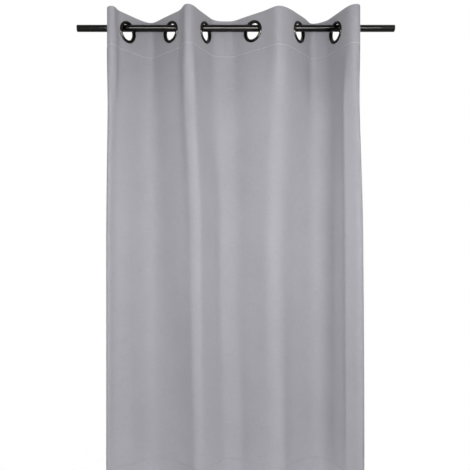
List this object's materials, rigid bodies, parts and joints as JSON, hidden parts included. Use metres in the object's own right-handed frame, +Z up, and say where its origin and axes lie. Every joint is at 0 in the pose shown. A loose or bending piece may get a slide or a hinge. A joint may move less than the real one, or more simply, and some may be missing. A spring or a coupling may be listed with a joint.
{
  "type": "eyelet curtain panel",
  "caption": "Fabric curtain panel with metal eyelets, hanging in soft upright folds on a round curtain rod; the pleats draw together along the rod.",
  "frame": {"origin": "on the curtain rod's axis, half way along the rod", "axes": "+X along the rod to the right as seen from the room, -Y out of the curtain's face into the room, +Z up"},
  "size_m": [0.935, 0.1457, 1.37],
  "materials": {
    "cloth": "plain dimout weave, soft grey with a faint sheen",
    "stiffener": "non-woven header tape",
    "thread": "polyester sewing thread",
    "eyelet": "black nickel plate, polished",
    "rod_metal": "black nickel plate, satin",
    "rod_plug": "black nickel plate, satin"
  },
  "bodies": {
    "rod": {"rod_tube": "rod_metal", "rod_end_plug_left": "rod_plug", "rod_end_plug_right": "rod_plug"},
    "pleat_1": {"cloth_pleat_1": "cloth", "header_stiffener_1": "stiffener", "header_seam_1": "thread", "bottom_seam_1": "thread", "eyelet_front_ring_1": "eyelet", "eyelet_back_ring_1": "eyelet", "side_seam_left": "thread"},
    "pleat_2": {"cloth_pleat_2": "cloth", "header_stiffener_2": "stiffener", "header_seam_2": "thread", "bottom_seam_2": "thread", "eyelet_front_ring_2": "eyelet", "eyelet_back_ring_2": "eyelet"},
    "pleat_3": {"cloth_pleat_3": "cloth", "header_stiffener_3": "stiffener", "header_seam_3": "thread", "bottom_seam_3": "thread", "eyelet_front_ring_3": "eyelet", "eyelet_back_ring_3": "eyelet"},
    "pleat_4": {"cloth_pleat_4": "cloth", "header_stiffener_4": "stiffener", "header_seam_4": "thread", "bottom_seam_4": "thread", "eyelet_front_ring_4": "eyelet", "eyelet_back_ring_4": "eyelet"},
    "pleat_5": {"cloth_pleat_5": "cloth", "header_stiffener_5": "stiffener", "header_seam_5": "thread", "bottom_seam_5": "thread", "eyelet_front_ring_5": "eyelet", "eyelet_back_ring_5": "eyelet"},
    "pleat_6": {"cloth_pleat_6": "cloth", "header_stiffener_6": "stiffener", "header_seam_6": "thread", "bottom_seam_6": "thread", "eyelet_front_ring_6": "eyelet", "eyelet_back_ring_6": "eyelet", "side_seam_right": "thread"}
  },
  "joints": [
    {"name": "draw", "type": "hinge", "parent": "rod", "child": "pleat_1", "pos_m": [-0.3195, 0, 0], "axis": [0, 0, 1], "range_deg": [-0.5, 20]},
    {"name": "fold_1", "type": "hinge", "parent": "pleat_1", "child": "pleat_2", "pos_m": [-0.25499, 0.06322, 0], "axis": [0, 0, 1], "range_deg": [-40, 1]},
    {"name": "fold_2", "type": "hinge", "parent": "pleat_2", "child": "pleat_3", "pos_m": [-0.14025, -0.07355, 0], "axis": [0, 0, 1], "range_deg": [-1, 40]},
    {"name": "fold_3", "type": "hinge", "parent": "pleat_3", "child": "pleat_4", "pos_m": [-0.01938, 0.0504, 0], "axis": [0, 0, 1], "range_deg": [-40, 1]},
    {"name": "fold_4", "type": "hinge", "parent": "pleat_4", "child": "pleat_5", "pos_m": [0.11851, -0.06029, 0], "axis": [0, 0, 1], "range_deg": [-1, 40]},
    {"name": "fold_5", "type": "hinge", "parent": "pleat_5", "child": "pleat_6", "pos_m": [0.24048, 0.06875, 0], "axis": [0, 0, 1], "range_deg": [-40, 1]}
  ],
  "couplings": [
    {"joint": "fold_1", "follows": "draw", "ratio": -2},
    {"joint": "fold_2", "follows": "draw", "ratio": 2},
    {"joint": "fold_3", "follows": "draw", "ratio": -2},
    {"joint": "fold_4", "follows": "draw", "ratio": 2},
    {"joint": "fold_5", "follows": "draw", "ratio": -2}
  ]
}
